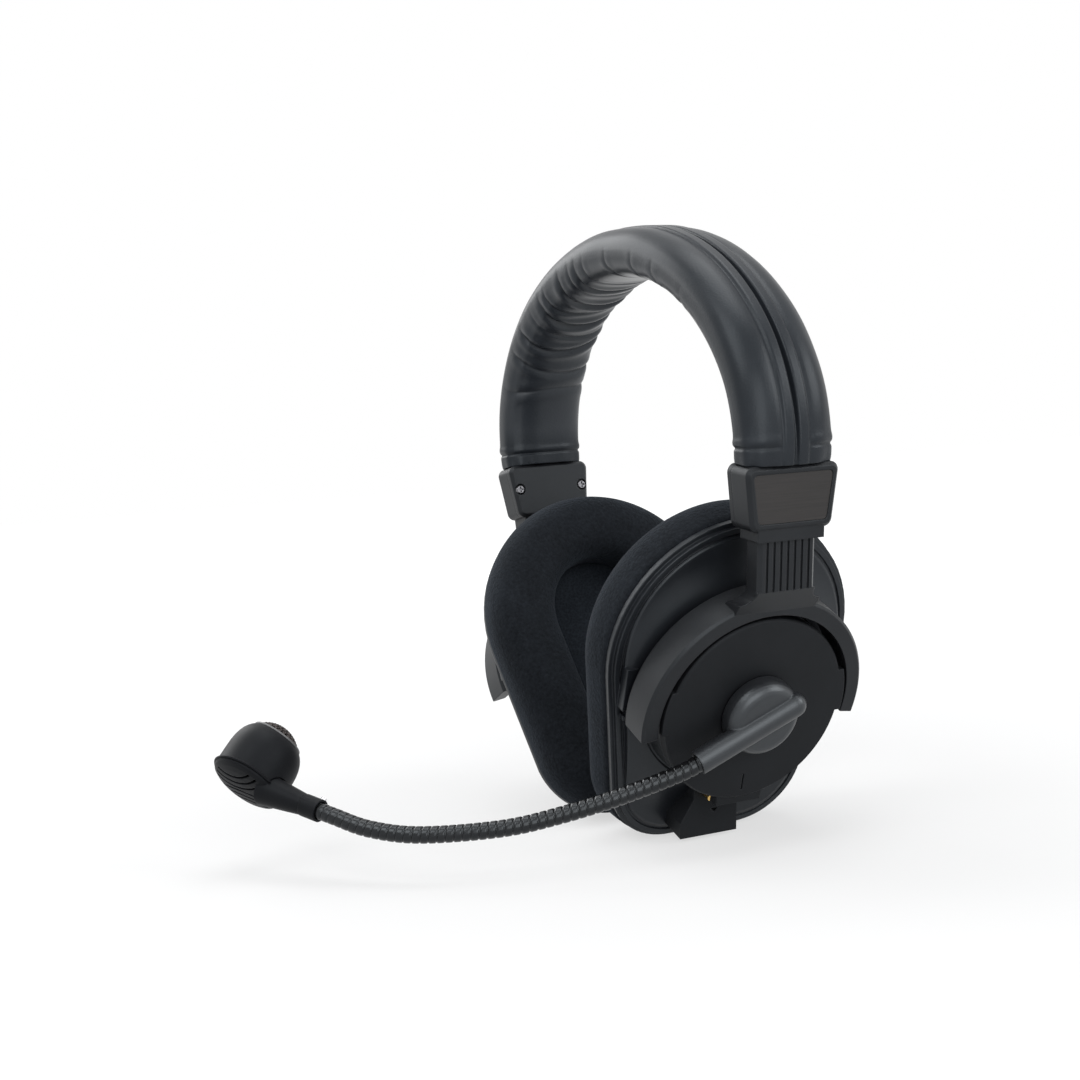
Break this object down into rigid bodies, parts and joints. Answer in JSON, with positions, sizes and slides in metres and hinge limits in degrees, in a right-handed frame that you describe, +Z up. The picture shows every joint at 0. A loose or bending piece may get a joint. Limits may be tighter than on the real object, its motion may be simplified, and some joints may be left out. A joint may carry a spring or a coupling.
{
  "type": "headset microphone",
  "caption": "Padded headband headset with ear cups hung in sliding forks and a gooseneck boom microphone that swivels on the left cup.",
  "frame": {"origin": "midway between the ears, level with the middle of the left cup's cap", "axes": "+Z up through the headband's crown, the wearer faces -Y, the left ear with the boom is at +X"},
  "size_m": [0.1722, 0.1833, 0.1898],
  "materials": {
    "leatherette": "satin, softly creased",
    "padding_foam": "matte",
    "spring_steel": "satin",
    "black_plastic": "matte moulded",
    "satin_plastic": "fine satin",
    "velour": "velour pile",
    "bright_steel": "polished",
    "brass": "plain",
    "bare_plate": "satin",
    "driver_metal": "satin"
  },
  "bodies": {
    "band": {"headband_cover": "leatherette", "headband_foam": "padding_foam", "headband_spring": "spring_steel", "end_block_left": "black_plastic", "end_block_right": "black_plastic", "block_cover_left": "black_plastic", "block_cover_right": "black_plastic", "block_screws": "bright_steel", "label_plate": "bare_plate"},
    "fork_left": {"fork_left": "black_plastic", "pivot_pins_left": "bright_steel"},
    "fork_right": {"fork_right": "black_plastic", "pivot_pins_right": "bright_steel"},
    "cup_left": {"cup_shell_left": "satin_plastic", "cup_cap_left": "black_plastic", "baffle_left": "black_plastic", "driver_left": "driver_metal", "ear_pad_left": "velour", "socket_housing": "black_plastic", "socket_contact": "brass", "boom_bush": "brass"},
    "cup_right": {"cup_shell_right": "satin_plastic", "cup_cap_right": "black_plastic", "baffle_right": "black_plastic", "driver_right": "driver_metal", "ear_pad_right": "velour"},
    "boom": {"boom_hub": "satin_plastic", "boom_washer": "spring_steel", "boom_screw": "bright_steel", "gooseneck": "black_plastic"},
    "mic": {"mic_collar": "black_plastic", "mic_collar_pin": "bright_steel", "mic_back": "satin_plastic", "mic_body": "satin_plastic", "mic_ring": "satin_plastic", "mic_grille": "black_plastic", "mic_capsule": "driver_metal"}
  },
  "joints": [
    {"name": "fork_slide_left", "type": "slide", "parent": "band", "child": "fork_left", "axis": [0.1486, 0, 0.9889], "range_m": [-0.01, 0.01]},
    {"name": "fork_slide_right", "type": "slide", "parent": "band", "child": "fork_right", "axis": [-0.1486, 0, 0.9889], "range_m": [-0.01, 0.01]},
    {"name": "cup_tilt_left", "type": "hinge", "parent": "fork_left", "child": "cup_left", "pos_m": [0.04987, 0, 0.00249], "axis": [0, -1, 0], "range_deg": [-2, 11]},
    {"name": "cup_tilt_right", "type": "hinge", "parent": "fork_right", "child": "cup_right", "pos_m": [-0.04987, 0, 0.00249], "axis": [0, 1, 0], "range_deg": [-2, 11]},
    {"name": "boom_swivel", "type": "hinge", "parent": "cup_left", "child": "boom", "pos_m": [0.0559, 0, 0.00005], "axis": [0.9269, 0, -0.3753], "range_deg": [-75, 95]},
    {"name": "gooseneck_bend", "type": "hinge", "parent": "boom", "child": "mic", "pos_m": [0.02503, -0.0956, -0.02715], "axis": [0.9023, -0.4311, 0], "range_deg": [-25, 25], "deforming": ["gooseneck"]}
  ]
}
